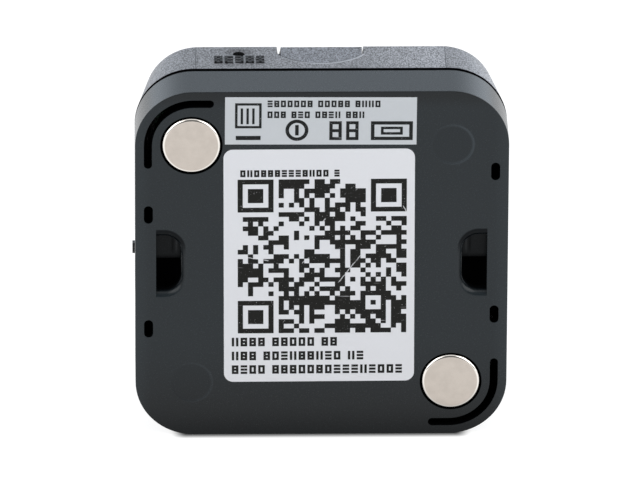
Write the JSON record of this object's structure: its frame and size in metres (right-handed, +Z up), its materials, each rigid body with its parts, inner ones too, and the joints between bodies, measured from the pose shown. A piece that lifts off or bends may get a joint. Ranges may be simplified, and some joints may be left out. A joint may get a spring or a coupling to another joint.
{
  "type": "wireless temperature sensor",
  "caption": "Square two-shell sensor housing with disc magnets, cable-tie openings, a pull-off front cover, a slide switch and a reset button over a coin-cell board.",
  "frame": {"origin": "middle of the bottom of the case, at the depth where the two shells part", "axes": "+Z up, +Y from the back face to the front face, +X to the right as seen from behind"},
  "size_m": [0.064, 0.0205, 0.0635],
  "materials": {
    "rear_plastic": "fine satin moulded texture",
    "front_plastic": "coarse sparkling moulded texture",
    "nickel_plate": "bright nickel plate",
    "adhesive": "acrylic adhesive pad",
    "silver_label": "silver-grey film",
    "white_label": "smooth white film",
    "board_laminate": "green solder mask",
    "screw_steel": "zinc-plated steel",
    "cell_steel": "nickel-plated can",
    "black_plastic": "moulded nylon",
    "contact_spring": "plated spring strip",
    "lever_plastic": "black moulded plastic",
    "tin_plate": "tin-plated sheet",
    "chip_resin": "moulded resin",
    "antenna_ceramic": "fired ceramic",
    "led_resin": "cast resin",
    "clear_plastic": "clear moulded rod"
  },
  "bodies": {
    "case": {"rear_shell": "rear_plastic", "front_shell": "front_plastic", "upper_magnet": "nickel_plate", "lower_magnet": "nickel_plate", "magnet_pads": "adhesive", "upper_label": "silver_label", "lower_label": "white_label", "circuit_board": "board_laminate", "board_screws": "screw_steel", "coin_cell": "cell_steel", "battery_holder": "black_plastic", "negative_contact": "contact_spring", "positive_clip": "contact_spring", "power_switch_body": "black_plastic", "reset_switch_body": "black_plastic", "radio_shield": "tin_plate", "controller_chip": "chip_resin", "timing_crystal": "tin_plate", "chip_antenna": "antenna_ceramic", "temperature_chip": "chip_resin", "capacitors": "antenna_ceramic", "status_led": "led_resin"},
    "cover": {"front_cover": "front_plastic", "light_pipe": "clear_plastic"},
    "power_lever": {"power_switch_lever": "lever_plastic"},
    "reset_button": {"reset_plunger": "lever_plastic"}
  },
  "joints": [
    {"name": "cover_pull", "type": "slide", "parent": "case", "child": "cover", "axis": [0, 1, 0], "range_m": [0, 0.012]},
    {"name": "power_slide", "type": "slide", "parent": "case", "child": "power_lever", "axis": [0, 0, 1], "range_m": [0, 0.0019]},
    {"name": "reset_press", "type": "slide", "parent": "case", "child": "reset_button", "axis": [0, 0, -1], "range_m": [0, 0.00025], "stiffness_N_per_m": 400}
  ]
}
